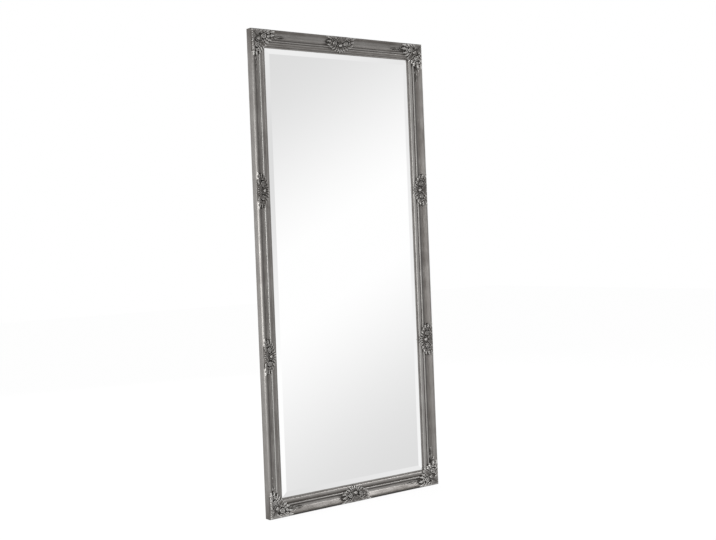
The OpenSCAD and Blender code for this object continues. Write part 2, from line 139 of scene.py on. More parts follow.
def hollow_line(steps):
    """The hollow, from the outer bead's slope down and up again to the small bead."""
    leave, arrive = math.radians(BEAD_SLOPE), math.radians(HOLLOW_SLOPE)
    start = (HOLLOW_D, FRAME_T - BEAD_R + BEAD_R * math.cos(leave))
    end = (HOLLOW_D + HOLLOW_W, HOLLOW_INNER_H)
    start_pull = (start[0] + HOLLOW_PLUNGE * math.cos(leave), start[1] - HOLLOW_PLUNGE * math.sin(leave))
    end_pull = (end[0] - HOLLOW_SWEEP * math.cos(arrive), end[1] - HOLLOW_SWEEP * math.sin(arrive))
    return curve(start, start_pull, end_pull, end, steps)


def face_line():
    """The moulding's face from the outer side to the sight edge, as (d, h) points."""
    return (
        arc((BEAD_R, FRAME_T - BEAD_R), BEAD_R, 180, 90 - BEAD_SLOPE, 18)
        + hollow_line(26)[1:]
        + arc((ASTRAGAL_D + ASTRAGAL_R, ASTRAGAL_H - ASTRAGAL_R), ASTRAGAL_R, 180, 0, 16)
        + bow(OVOLO_D, LIP_D, OVOLO_HEIGHTS, 14)
        + bow(LIP_D, FACE_W, LIP_HEIGHTS, 8)[1:]
    )


def back_line():
    """The rest of the section, from the sight edge round the rebate and the ledge to the outer side."""
    return [
        (FACE_W, LIP_BACK_H), (REBATE_D, LIP_BACK_H), (REBATE_D, BOARD_T), (LEDGE_D, BOARD_T),
        (LEDGE_D, 0.0), (ARRIS_R, 0.0), (0.0, ARRIS_R),
    ]


def moulding_h(d):
    """Height of the moulding's face at a distance d from the outer edge."""
    line = np.array(face_line())
    order = np.argsort(line[:, 0], kind="stable")
    return np.interp(d, line[order, 0], line[order, 1])


def side_matrix(side):
    """Turns a piece drawn on the top rail onto side 0, 1, 2 or 3, clockwise from the top."""
    return Matrix.Rotation(math.radians(90 * side), 4, "Y")


def side_half(side):
    """Half the frame's length along a side, and half its reach across it."""
    half, reach = FRAME_W / 2, FRAME_H / 2
    return (half, reach) if side % 2 == 0 else (reach, half)


# Meshes

SHARP_ANGLE = 40


def new_piece(name, points, faces, body="frame"):
    """A mesh piece from points in metres, which rides on a body."""
    mesh = bpy.data.meshes.new(name)
    mesh.from_pydata([tuple(p) for p in points], [], [tuple(f) for f in faces])
    mesh.update()
    piece = bpy.data.objects.new(name, mesh)
    bpy.context.scene.collection.objects.link(piece)
    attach(piece, body)
    return piece


def set_values(piece, name, values):
    """Stores one number for each point of a piece, for its material."""
    attribute = piece.data.attributes.new(name, "FLOAT", "POINT")
    attribute.data.foreach_set("value", np.asarray(values, np.float32))


def shade_smooth(piece):
    """Smooth shading that keeps the sharp edges."""
    piece.data.shade_smooth()
    piece.data.set_sharp_from_angle(angle=math.radians(SHARP_ANGLE))


def blur(field, radius):
    """A field smoothed by a bell curve, with its edges mirrored."""
    pad = int(math.ceil(3 * radius))
    wide = np.pad(field, pad, mode="reflect")
    fa = np.fft.fftfreq(wide.shape[0])[:, None]
    fb = np.fft.rfftfreq(wide.shape[1])[None, :]
    bell = np.exp(-2 * (math.pi * radius) ** 2 * (fa**2 + fb**2))
    return np.fft.irfft2(np.fft.rfft2(wide) * bell, wide.shape)[pad:-pad, pad:-pad]


# The four lengths of moulding

RUN_STEP = 12.0
DRIFT_SEED = 11
DRIFT_MAX = 0.10

# Wear across the moulding: its middle value, and how much and how widely grooves and crests change it; the
# crests also carry painted highlights, the small bead most
MIDDLE_WEAR = 0.5
GROOVES = (ASTRAGAL_D - QUIRK_W / 2, OVOLO_D - QUIRK_W / 2, LIP_D)
GROOVE_WEAR = 0.30
GROOVE_WIDTH = 0.4
CRESTS = (0.55 * BEAD_R, ASTRAGAL_D + ASTRAGAL_R, LIP_D - 3)
CREST_WEAR_AND_HIGHLIGHT = 0.18
CREST_WIDTH = 3.2
ASTRAGAL_HIGHLIGHT = 0.16
ASTRAGAL_HIGHLIGHT_WIDTH = 2.2

# Painted shade on each side, or below 0 painted light, because the light falls differently on each side. The
# heaviest is a painted shadow by the floor along the bottom rail's outer bead. Distance in, width and amount
PAINTED_LIGHT_AND_SHADE_BY_SIDE = (
    ((6, 6, 0.26), (18, 6, -0.15), (37, 2.5, 0.32), (43, 2.5, -0.30), (52, 5, 0.20)),
    ((21, 5, 0.14), (33, 3, -0.26), (45, 3, -0.22), (53, 3, -0.18)),
    ((3, 3.4, 0.95), (10, 3, 0.12), (25, 4, -0.14), (35, 2.4, 0.45), (45.5, 2.5, 0.20)),
    ((10.5, 3.5, 0.24), (19, 3, -0.16), (29, 3, 0.08), (35.5, 2, -0.75), (41, 1.6, 0.32), (51, 5, 0.12)),
)

# Darker towards a length's ends: amount, how far from the end, and how far in
END_DARKENING = 0.26
END_DARKENING_RUN = 95.0
END_DARKENING_D = 5


def face_wear_and_highlights(d):
    """How rubbed the finish is across the moulding, 0 in a groove and 1 on a crest, with painted highlights
    on the crests and the small bead.
    """
    wear_and_painted_light = MIDDLE_WEAR
    for groove in GROOVES:
        wear_and_painted_light -= GROOVE_WEAR * math.exp(-((d - groove) / GROOVE_WIDTH) ** 2)
    for crest in CRESTS:
        wear_and_painted_light += CREST_WEAR_AND_HIGHLIGHT * math.exp(-((d - crest) / CREST_WIDTH) ** 2)
    # Painted highlight along the small bead
    return wear_and_painted_light + ASTRAGAL_HIGHLIGHT * math.exp(-(((d - ASTRAGAL_D - ASTRAGAL_R) / ASTRAGAL_HIGHLIGHT_WIDTH) ** 2))


def painted_light_and_shade_on_side(side, d):
    """How much painted shade, or below 0 painted light, lies across a side."""
    return sum(amount * math.exp(-(((d - at) / width) ** 2)) for at, width, amount in PAINTED_LIGHT_AND_SHADE_BY_SIDE[side])


def run_drift(side, steps):
    """Slight unevenness of a hand-run moulding along its length, nothing at its ends."""
    rng = np.random.default_rng(DRIFT_SEED + side)
    drift = np.cumsum(rng.normal(0, 1, (steps + 1, 3)), axis=0)
    drift -= np.linspace(drift[0], drift[-1], steps + 1)
    return DRIFT_MAX * drift / max(1.0, np.abs(drift).max())


def rail_mesh(name, side):
    """One mitred length of moulding, with a painted face and a bare back."""
    half, reach = side_half(side)
    face, back = face_line(), back_line()
    section = face + back
    rounds = len(section)
    steps = int(round(2 * half / RUN_STEP))
    turn = side_matrix(side)
    drift = run_drift(side, steps)
    points, wear_and_painted_light = [], []
    for i in range(steps + 1):
        share = 2 * i / steps - 1
        to_end = half * (1 - abs(share)) / END_DARKENING_RUN
        bare = MIDDLE_WEAR - END_DARKENING * (share**2) ** 18
        for k, (d, h) in enumerate(section):
            wave = 0.0
            if 0 < k < len(face) - 1 and 0 < i < steps:
                wave = drift[i] @ (1.0, math.sin(d / 9), math.cos(d / 6))
            points.append(turn @ Vector((share * (half - d), -(h + wave), reach - d)) * MM)
            # Painted light and shade on this side, and darkening towards the ends, taken off the wear
            painted_shade_and_end_darkening = painted_light_and_shade_on_side(side, d)
            painted_shade_and_end_darkening += END_DARKENING * math.exp(-(to_end**2) - (d / END_DARKENING_D) ** 2)
            wear_and_painted_light.append(face_wear_and_highlights(d) - painted_shade_and_end_darkening if k < len(face) else bare)
    faces = []
    for i in range(steps):
        for k in range(rounds):
            n = (k + 1) % rounds
            faces.append((i * rounds + k, i * rounds + n, (i + 1) * rounds + n, (i + 1) * rounds + k))
    faces.append(tuple(range(rounds - 1, -1, -1)))
    faces.append(tuple(steps * rounds + k for k in range(rounds)))
    piece = new_piece(name, points, faces)
    set_values(piece, "wear_and_painted_light", wear_and_painted_light)
    add_run_map(piece, section, steps, half)
    painted = len(face) - 1
    for i in range(steps):
        for k in range(rounds):
            outer_side = k == rounds - 1
            piece.data.polygons[i * rounds + k].material_index = 0 if k <= painted or outer_side else 1
    for end in (-2, -1):
        piece.data.polygons[end].material_index = 1
    shade_smooth(piece)
    return piece


def add_run_map(piece, section, steps, half):
    """A flat map of a rail: along it, and round its section, in metres."""
    rounds = len(section)
    gaps = [math.dist(section[k], section[(k + 1) % rounds]) for k in range(rounds)]
    around = np.concatenate([[0], np.cumsum(gaps)]) * MM
    run = piece.data.uv_layers.new(name="run")
    for polygon in piece.data.polygons:
        last = len(polygon.vertices) == 4 and polygon.index % rounds == rounds - 1
        for loop, vertex in zip(polygon.loop_indices, polygon.vertices):
            i, k = divmod(vertex, rounds)
            v = around[rounds] if last and k == 0 else around[k]
            run.data[loop].uv = ((2 * i / steps - 1) * half * MM, v)


# Cast ornaments, as heights over a grid of (a, b): a runs along the rail and b inwards from its edge

GRID = 0.6
CARRIER_H = 34.5
CARRIER_FALL = 0.28
PAD_SINK = 5.5
PAD_FALL = 3.0
PAD_LIFT = 0.5
FLOOR_SINK = 1.0
SKIN = 0.5
EDGE_ROUND = 7.0
EDGE_H = FRAME_T - BEAD_R + 2.0
EDGE_MARGIN = 0.3
TOP_MARGIN = 0.2
CREST_H = 4.2
PEARLS = 14
EMPTY_H = -50.0

# Blur of the carving, and the two blurs that show its crests and hollows, in grid steps
CARVE_BLUR = 0.55
FINE_BLUR = 1.6
BROAD_BLUR = 6.0

# The least a carving stands where it is kept, its middle and least wear, and the width of the painted
# highlight along its outer rim
STAND_MIN = 0.02
CARVED_WEAR = 0.29
WEAR_LEAST = 0.10
RIM_HIGHLIGHT_WIDTH = 5.0

# Painted light and shade on each casting, darker on the upper ones and lighter on the lower ones, for how
# the light falls on them
CAST_LIGHT_AND_SHADE = {
    "corner_ornament_top_left": -0.11,
    "corner_ornament_top_right": -0.10,
    "corner_ornament_bottom_left": 0.04,
    "left_upper_ornament": -0.09,
    "left_lower_ornament": 0.05,
    "bottom_ornament": 0.09,
    "right_upper_ornament": -0.03,
    "right_lower_ornament": 0.03,
}


class Relief:
    """A carved surface over a grid of (a, b) points, as its height above the frame's back."""

    def __init__(self, a_span, b_span, corner=False):
        a_line = np.arange(a_span[0], a_span[1] + GRID / 2, GRID)
        b_line = np.arange(b_span[0], b_span[1] + GRID / 2, GRID)
        self.a, self.b = np.meshgrid(a_line, b_line, indexing="ij")
        self.d = np.minimum(self.a, self.b) if corner else self.b
        self.ground = moulding_h(self.d)
        rounded = np.sqrt(1 - (1 - np.clip(self.d / EDGE_ROUND, 0, 1)) ** 2)
        self.limit = np.minimum(REACH_H - TOP_MARGIN, EDGE_H + (REACH_H - EDGE_H) * rounded)
        self.carrier = np.minimum(CARRIER_H - CARRIER_FALL * self.d, self.limit - CREST_H)
        self.top = np.full(self.a.shape, EMPTY_H)
        # Painted light and shade, and other changes of tone, added to the carving's wear
        self.tone = np.zeros(self.a.shape)

    def window(self, points, margin):
        """The part of the grid that lies round some points."""
        low = np.min(points, axis=0) - margin
        high = np.max(points, axis=0) + margin
        i0 = int(np.clip((low[0] - self.a[0, 0]) / GRID, 0, self.a.shape[0] - 1))
        i1 = int(np.clip((high[0] - self.a[0, 0]) / GRID + 2, 1, self.a.shape[0]))
        j0 = int(np.clip((low[1] - self.b[0, 0]) / GRID, 0, self.a.shape[1] - 1))
        j1 = int(np.clip((high[1] - self.b[0, 0]) / GRID + 2, 1, self.a.shape[1]))
        return slice(i0, i1), slice(j0, j1)

    def raise_to(self, where, height):
        """Keeps the higher of what is there and a new height."""
        self.top[where] = np.maximum(self.top[where], height)


def midrib(root, tip, bend, count=41):
    """A bowed line from root to tip; bend is its bow as a share of its length, to the left."""
    root, tip = np.array(root, float), np.array(tip, float)
    left = np.array([root[1] - tip[1], tip[0] - root[0]])
    mid = (root + tip) / 2 + 2 * bend * left
    t = np.linspace(0, 1, count)[:, None]
    return (1 - t) ** 2 * root + 2 * t * (1 - t) * mid + t * t * tip


def nearest(relief, where, line):
    """How far along a line each grid point's nearest place is, and its distance, signed to the left."""
    a, b = relief.a[where], relief.b[where]
    gap_a = a[..., None] - line[:, 0]
    gap_b = b[..., None] - line[:, 1]
    far = gap_a**2 + gap_b**2
    index = far.argmin(axis=-1)
    along = np.gradient(line, axis=0)
    along /= np.maximum(np.linalg.norm(along, axis=1, keepdims=True), 1e-9)
    pick_a = np.take_along_axis(gap_a, index[..., None], -1)[..., 0]
    pick_b = np.take_along_axis(gap_b, index[..., None], -1)[..., 0]
    side = along[index, 0] * pick_b - along[index, 1] * pick_a
    ahead = along[index, 0] * pick_a + along[index, 1] * pick_b
    step = np.linalg.norm(np.diff(line, axis=0), axis=1).mean()
    t = (index + ahead / step) / (len(line) - 1)
    return t, side


def leaf(relief, root, tip, width, rise=3.4, bend=0.0, lobes=3):
    """An acanthus leaf with a sunk midrib, veins and a lobed edge; its tip curls up and over."""
    line = midrib(root, tip, bend)
    where = relief.window(line, width * 1.9)
    t, side = nearest(relief, where, line)
    inside = np.clip(t, 0, 1)
    swell = np.sin(math.pi * (0.12 + 0.88 * inside) ** 0.85) ** 0.7
    scallop = 1 + 0.20 * np.cos(2 * math.pi * lobes * inside + math.pi)
    s = side / np.maximum(width * swell * scallop, 0.4)
    lift = rise * (0.20 + 0.80 * np.sin(math.pi * inside**1.4 * 0.90))
    dome = 1 - np.abs(s) ** 2.4
    rib = np.exp(-((s / 0.15) ** 2))
    veins = np.cos(2 * math.pi * (lobes * inside - 0.6 * np.abs(s))) * np.clip(np.abs(s), 0, 1)
    over = np.clip(t - 1, 0, None) + np.clip(-t, 0, None)
    length = np.linalg.norm(np.diff(line, axis=0), axis=1).sum()
    height = -3.6 + lift + 3.4 * dome - 1.1 * rib + 0.6 * veins - 2.6 * over * length
    relief.raise_to(where, relief.carrier[where] + height)


def volute(relief, centre, radius, turns=1.6, start=0.0, hand=1, wire=2.0, rise=3.0):
    """A scroll that winds in to a button, rising as it goes."""
    centre = np.array(centre, float)
    where = relief.window(centre[None, :], radius + 2 * wire)
    a, b = relief.a[where] - centre[0], relief.b[where] - centre[1]
    rho = np.hypot(a, b)
    phi = np.arctan2(b, a) * hand - start
    best = np.full(rho.shape, EMPTY_H)
    for k in range(-1, int(turns) + 2):
        wound = (phi / (2 * math.pi) + k) / turns
        share = np.clip(wound, 0, 1)
        ring = radius * (1 - 0.72 * share)
        thick = wire * (1 - 0.45 * share)
        s = (rho - ring) / thick
        out = np.abs(wound - share) * 2 * math.pi * turns * ring
        best = np.maximum(best, rise * (0.45 + 0.55 * share) + 2.6 * (1 - np.abs(s) ** 2.2) - 1.8 * out)
    button = 0.30 * radius
    best = np.maximum(best, rise * 1.15 + 2.4 * (1 - (rho / button) ** 2))
    relief.raise_to(where, relief.carrier[where] - 3.0 + best)


def boss(relief, centre, size, rise=7.0, turn=0.0):
    """An oval cabochon in a ring of small pearls."""
    centre = np.array(centre, float)
    reach = max(size) + 5
    where = relief.window(centre[None, :], reach)
    a, b = relief.a[where] - centre[0], relief.b[where] - centre[1]
    along = a * math.cos(turn) + b * math.sin(turn)
    across = b * math.cos(turn) - a * math.sin(turn)
    e = np.hypot(along / size[0], across / size[1])
    mean = (size[0] + size[1]) / 2
    stone = rise * np.sqrt(np.clip(1 - e**2, 0, 1)) - 40 * np.clip(e - 1, 0, None)
    angle = np.arctan2(across / size[1], along / size[0])
    pearl = 0.55 + 0.45 * np.cos(angle * PEARLS)
    ring = 0.9 + 2.2 * pearl * (1 - ((e - 1.38) * mean / 1.7) ** 2)
    ring = np.where(np.abs(e - 1.38) * mean < 2.4, ring, EMPTY_H)
    relief.raise_to(where, relief.carrier[where] - 3.0 + np.maximum(stone, ring))
    # Painted shade over the boss and its ring of pearls
    relief.tone[where] -= 0.12 * np.clip(1.6 - e, 0, 1)


def shell(relief, hinge, edge, aim, spread, flutes, rise=3.2):
    """A fan of round flutes from a hinge, with a scalloped edge; edge gives its reach in a direction."""
    hinge = np.array(hinge, float)
    where = relief.window(hinge[None, :], edge(aim) * 1.1)
    a, b = relief.a[where] - hinge[0], relief.b[where] - hinge[1]
    rho = np.hypot(a, b)
    angle = np.arctan2(b, a)
    phi = (angle - aim + math.pi) % (2 * math.pi) - math.pi
    place = phi / spread * flutes / 2
    crown = np.abs(np.cos(math.pi * (place - 0.5 * (flutes % 2 == 0))))
    share = rho / (edge(angle) * (0.90 + 0.10 * crown))
    wide = np.clip(share * 2.2, 0, 1)
    lift = rise * (0.15 + 0.85 * np.clip(share, 0, 1) ** 1.4)
    outside = 14 * np.clip(np.abs(phi) - spread, 0, None) * rho / 6
    height = lift + 2.8 * crown**0.8 * wide - 3.6 - 30 * np.clip(share - 1, 0, None) - outside
    relief.raise_to(where, relief.carrier[where] + height)


def round_reach(radius):
    """The reach of a round shell."""
    return lambda angle: radius + 0 * angle


def square_reach(to_edge):
    """The reach of a shell that runs to the frame's two outer edges."""
    return lambda angle: to_edge / np.maximum(np.abs(np.cos(angle)), np.abs(np.sin(angle)))


def beads(relief, start, end, first, last, count, bend=0.0, rise=2.0):
    """A row of beads that grow smaller."""
    line = midrib(start, end, bend, count)
    for k, p in enumerate(line):
        r = first + (last - first) * k / max(1, count - 1)
        where = relief.window(p[None, :], 2 * r)
        e = np.hypot(relief.a[where] - p[0], relief.b[where] - p[1]) / r
        ball = rise + 1.2 * r * np.sqrt(np.clip(1 - e**2, 0, 1)) - 30 * np.clip(e - 1, 0, None)
        relief.raise_to(where, relief.carrier[where] - 3.4 + ball)


def pad(relief, inside):
    """The thin body that the leaves grow from; inside is the distance in from its outline."""
    body = relief.carrier - PAD_SINK + PAD_FALL * np.minimum(inside, 0)
    relief.raise_to(np.s_[:, :], np.maximum(body, np.where(inside > 0, relief.ground + PAD_LIFT, EMPTY_H)))


def carved_wear_and_rim_highlight(relief, top):
    """How rubbed a carving is, bright on its crests and dark in its hollows, with a painted highlight along
    its outer rim.
    """
    fine = top - blur(top, FINE_BLUR)
    broad = top - blur(top, BROAD_BLUR)
    low = np.clip((relief.carrier - 1 - top) / 5, 0, 1)
    # Painted highlight along the outer rim, where the bead catches the light
    rim_highlight = np.exp(-((relief.d / RIM_HIGHLIGHT_WIDTH) ** 2))
    wear_and_painted_light = CARVED_WEAR + (0.40 + 0.40 * rim_highlight) * np.clip(fine / 0.6, -0.8, 1)
    return wear_and_painted_light + (0.36 * np.clip(broad / 1.8, -0.7, 1) - 0.27 * low + 0.20 * rim_highlight)


def relief_piece(name, relief, to_part, nodes):
    """The closed mesh of an ornament; to_part takes (a, b, h) in millimetres to the part's frame."""
    floor = relief.ground - FLOOR_SINK
    top = np.minimum(relief.top, relief.limit)
    top = np.maximum(blur(np.maximum(top, floor - 3), CARVE_BLUR), floor)
    stands = top > floor + STAND_MIN
    cells = stands[:-1, :-1] | stands[1:, :-1] | stands[:-1, 1:] | stands[1:, 1:]
    used = np.zeros(top.shape, bool)
    for i in (0, 1):
        for j in (0, 1):
            used[i:used.shape[0] - 1 + i, j:used.shape[1] - 1 + j] |= cells
    index = np.full(top.shape, -1)
    index[used] = np.arange(used.sum())
    count = int(used.sum())
    a, b = relief.a[used], relief.b[used]
    upper = np.stack([a, b, top[used]], axis=1)
    lower = np.stack([a, b, np.minimum(floor[used] - SKIN, top[used] - SKIN)], axis=1)
    points = [to_part(*p) for p in np.concatenate([upper, lower])]
    ia, ib = np.nonzero(cells)
    quads = np.stack([index[ia, ib], index[ia + 1, ib], index[ia + 1, ib + 1], index[ia, ib + 1]], axis=1)
    walls = []
    padded = np.pad(cells, 1)
    for di, dj, first, second in ((-1, 0, (0, 0), (0, 1)), (1, 0, (1, 1), (1, 0)),
                                  (0, -1, (1, 0), (0, 0)), (0, 1, (0, 1), (1, 1))):
        open_side = cells & ~padded[1 + di:padded.shape[0] - 1 + di, 1 + dj:padded.shape[1] - 1 + dj]
        wa, wb = np.nonzero(open_side)
        p = index[wa + first[0], wb + first[1]]
        q = index[wa + second[0], wb + second[1]]
        walls.append(np.stack([p, q, q + count, p + count], axis=1))
    faces = np.concatenate([quads, quads[:, ::-1] + count] + walls)
    if handed(to_part):
        faces = faces[:, ::-1]
    piece = new_piece(name, points, faces.tolist())
    # Painted light and shade of the carving and of each casting, added to its wear
    wear_and_painted_light = carved_wear_and_rim_highlight(relief, top) + (relief.tone + CAST_LIGHT_AND_SHADE.get(nodes[0], 0.0))
    values = np.clip(wear_and_painted_light[used], WEAR_LEAST, 1)
    set_values(piece, "wear_and_painted_light", np.concatenate([values, values]))
    piece.data.shade_smooth()
    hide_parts(*nodes)
    return piece


def handed(to_part):
    """True where a placement turns the grid's own winding inside out."""
    o, a, b, h = (to_part(*p) for p in ((0, 0, 0), (1, 0, 0), (0, 1, 0), (0, 0, 1)))
    return (a - o).cross(b - o).dot(h - o) < 0


# Middle ornament, drawn round a = 0

MOTIF_HALF = 61.0
MOTIF_TIP = 68.0
MOTIF_BODY = (53.0, 22.0, 27.0, 28.0)
MOTIF_PAINTED_HIGHLIGHT = 0.34
MOTIF_HIGHLIGHT_B = 32
MOTIF_HIGHLIGHT_SPREAD = 30
MOTIF_PAINTED_SHADE = 0.19


def twinned(draw, relief, points, rest, flip, scroll_turn):
    """Draws something and its mirror image; flip mirrors a point, and scroll_turn sets a scroll's start."""
    draw(relief, *points, **rest)
    turned = dict(rest)
    if "bend" in turned:
        turned["bend"] = -turned["bend"]
    if "hand" in turned:
        turned["hand"] = -turned["hand"]
        turned["start"] = scroll_turn * turned["hand"] - turned.get("start", 0.0)
    draw(relief, *(flip(p) if isinstance(p, tuple) else p for p in points), **turned)


def both(draw, relief, *points, **rest):
    """Draws something and its mirror image across a = 0."""
    twinned(draw, relief, points, rest, lambda p: (-p[0], p[1]), math.pi)


def draw_motif(relief):
    """A shell over a boss, with scrolls and leaves on both sides."""
    half, middle, outer, inner = MOTIF_BODY
    b = relief.b - middle
    round_out = (np.abs(relief.a) / half) ** 2.6 + (np.abs(b) / np.where(b < 0, outer, inner)) ** 2.6
    pad(relief, 12 * (1 - round_out))
    both(leaf, relief, (44, 8), (MOTIF_TIP, 4), 3.6, bend=-0.06)
    both(leaf, relief, (14, 16), (37, 4.2), 4.8, bend=-0.12)
    both(leaf, relief, (26, 14), (50, 4.2), 4.6, bend=-0.12)
    both(leaf, relief, (35, 17), (60, 8.5), 4.6, bend=-0.12)
    both(leaf, relief, (37, 24), (MOTIF_HALF, 20), 4.4, bend=-0.08)
    both(leaf, relief, (36, 30), (58, 30), 4.4, bend=0.12)
    both(leaf, relief, (29, 34), (49, 38.5), 4.3, bend=0.12)
    both(leaf, relief, (20, 36), (36.5, 46.5), 4.2, bend=0.10)
    both(leaf, relief, (12, 39), (24, 52.5), 3.8, bend=0.10)
    both(leaf, relief, (6, 41), (12, 56.5), 3.2, bend=0.08)
    leaf(relief, (0, 40), (0, 59.5), 3.4)
    both(volute, relief, (24, 26.5), 9.0, start=2.4, hand=1, wire=2.3)
    both(volute, relief, (41, 26), 4.6, turns=1.2, start=0.6, hand=-1, wire=1.6, rise=2.4)
    shell(relief, (0, 27), round_reach(24.5), -math.pi / 2, math.radians(60), 7)
    boss(relief, (0, 33), (7.4, 6.4), rise=8.4)
    both(beads, relief, (12, 41), (33, 37), 1.8, 1.2, 6, bend=-0.12)


def motif_relief():
    """The middle casting's surface, with painted shade that makes it darker than the corners, and a painted
    highlight on the middle of its boss.
    """
    relief = Relief((-MOTIF_TIP - 3, MOTIF_TIP + 3), (EDGE_MARGIN, FACE_W - EDGE_MARGIN))
    draw_motif(relief)
    # Painted highlight round the middle of the boss, and painted shade over the whole casting
    gap_sq = relief.a**2 + (relief.b - MOTIF_HIGHLIGHT_B) ** 2
    relief.tone += MOTIF_PAINTED_HIGHLIGHT * np.exp(-gap_sq / MOTIF_HIGHLIGHT_SPREAD) - MOTIF_PAINTED_SHADE
    return relief


# Corner ornament, drawn from the frame's corner with both arms alike

CORNER_ARM = 98.0
SPRIG_GAP_PAINTED_LIGHT = ((68.0, 6.0), (90.0, 5.0))
SPRIG_END = 146.0
SPRIG_D = 23.0


def both_arms(draw, relief, *points, **rest):
    """Draws something on one arm of a corner and its mirror image on the other."""
    twinned(draw, relief, points, rest, lambda p: (p[1], p[0]), math.pi / 2)


def draw_corner(relief):
    """A shell in the corner, a boss on the mitre, scrolls and leaves along both arms."""
    a, b = relief.a, relief.b
    square = np.minimum(60 - a, 60 - b)
    arms = [np.minimum(0.4 * (88 - u - 0.35 * np.abs(v - 16)), 33 - v) for u, v in ((a, b), (b, a))]
    pad(relief, np.maximum(square, np.maximum(*arms)))
    both_arms(leaf, relief, (29, 14), (50, 4.2), 5.0, bend=-0.12)
    both_arms(leaf, relief, (42, 14), (64, 4.2), 5.0, bend=-0.12)
    both_arms(leaf, relief, (55, 14), (79, 4.8), 5.0, bend=-0.12)
    both_arms(leaf, relief, (68, 15), (CORNER_ARM - 1, 8), 5.0, bend=-0.12)
    both_arms(leaf, relief, (72, 23), (95, 21), 4.6, bend=-0.06)
    both_arms(leaf, relief, (64, 30), (87, 36), 4.6, bend=0.12)
    both_arms(leaf, relief, (57, 35), (77, 47), 4.6, bend=0.12)
    both_arms(leaf, relief, (48, 39), (69, 57), 4.4, bend=0.10)
    both_arms(leaf, relief, (43, 43), (62, 60), 4.0, bend=0.06)
    both_arms(volute, relief, (54, 25), 9.4, start=2.6, hand=1, wire=2.4, rise=3.2)
    both_arms(volute, relief, (72, 25), 5.0, turns=1.2, start=0.8, hand=-1, wire=1.7, rise=2.6)
    both_arms(volute, relief, (52, 43), 4.8, turns=1.2, start=1.4, hand=-1, wire=1.6, rise=2.6)
    shell(relief, (29, 29), square_reach(25.4), -3 * math.pi / 4, math.radians(56), 9)
    boss(relief, (33, 33), (8.2, 7.0), rise=8.8, turn=math.pi / 4)
    both_arms(beads, relief, (43, 33), (64, 40), 1.9, 1.2, 6, bend=0.10)
    draw_sprigs(relief)


def draw_sprigs(relief):
    """A stem in the hollow of each arm, with side leaves and a pointed bellflower at its end."""
    root, dart = CORNER_ARM - 16, SPRIG_END - 31
    line = midrib((root, SPRIG_D), (dart + 2, SPRIG_D), 0.0)
    for swap in (False, True):
        path = line[:, ::-1] if swap else line
        where = relief.window(path, 6)
        t, side = nearest(relief, where, path)
        stem = 2.1 - 0.8 * np.clip(t, 0, 1)
        over = (np.clip(t - 1, 0, None) + np.clip(-t, 0, None)) * 30
        height = relief.ground[where] + 2.8 * (1 - (side / stem) ** 2) - over
        relief.raise_to(where, height)
    for start, tip, width, bend in (
        ((root + 12, SPRIG_D), (root + 28, SPRIG_D - 5.5), 2.6, -0.2),
        ((root + 17, SPRIG_D), (root + 33, SPRIG_D + 5.5), 2.6, 0.2),
        ((dart - 4, SPRIG_D), (dart + 9, SPRIG_D - 5), 2.2, 0.2),
        ((dart - 4, SPRIG_D), (dart + 9, SPRIG_D + 5), 2.2, -0.2),
        ((dart, SPRIG_D), (SPRIG_END - 0.5, SPRIG_D), 4.4, 0.0),
    ):
        both_arms(low_leaf, relief, start, tip, width, bend=bend)
    # Lighter along the sprigs, and painted light in the two gaps where the leaves' shade falls
    along = np.maximum(relief.a, relief.b)
    relief.tone += 0.16 * np.clip((along - root) / 12, 0, 1)
    for middle, reach in SPRIG_GAP_PAINTED_LIGHT:
        relief.tone += 0.20 * np.exp(-(((along - middle) / reach) ** 2))


def low_leaf(relief, root, tip, width, bend=0.0):
    """A small leaf that lies on the moulding itself."""
    line = midrib(root, tip, bend)
    where = relief.window(line, width * 1.8)
    t, side = nearest(relief, where, line)
    inside = np.clip(t, 0, 1)
    s = side / np.maximum(width * np.sin(math.pi * (0.08 + 0.92 * inside) ** 0.8) ** 0.8, 0.3)
    over = (np.clip(t - 1, 0, None) + np.clip(-t, 0, None)) * 25
    ridge = 0.9 * np.exp(-((s / 0.2) ** 2))
    height = relief.ground[where] + 2.8 * (1 - np.abs(s) ** 1.6) + ridge - over
    relief.raise_to(where, height)


def corner_relief():
    """The corner casting's surface, kept off the glass."""
    relief = Relief((EDGE_MARGIN, SPRIG_END + 4), (EDGE_MARGIN, SPRIG_END + 4), corner=True)
    draw_corner(relief)
    relief.top[relief.d > FACE_W - EDGE_MARGIN] = EMPTY_H
    return relief


def place_on_side(side, along):
    """Takes (a, b, h) on a side's rail to the part's frame; a = 0 is at along."""
    reach = side_half(side)[1]
    turn = side_matrix(side)

    def to_part(a, b, h):
        return turn @ Vector((along + a, -h, reach - b)) * MM

    return to_part


def place_in_corner(sx, sz):
    """Takes (a, b, h) from a corner of the frame to the part's frame."""
    def to_part(a, b, h):
        return Vector((sx * (FRAME_W / 2 - a), -h, sz * (FRAME_H / 2 - b))) * MM

    return to_part


# Materials

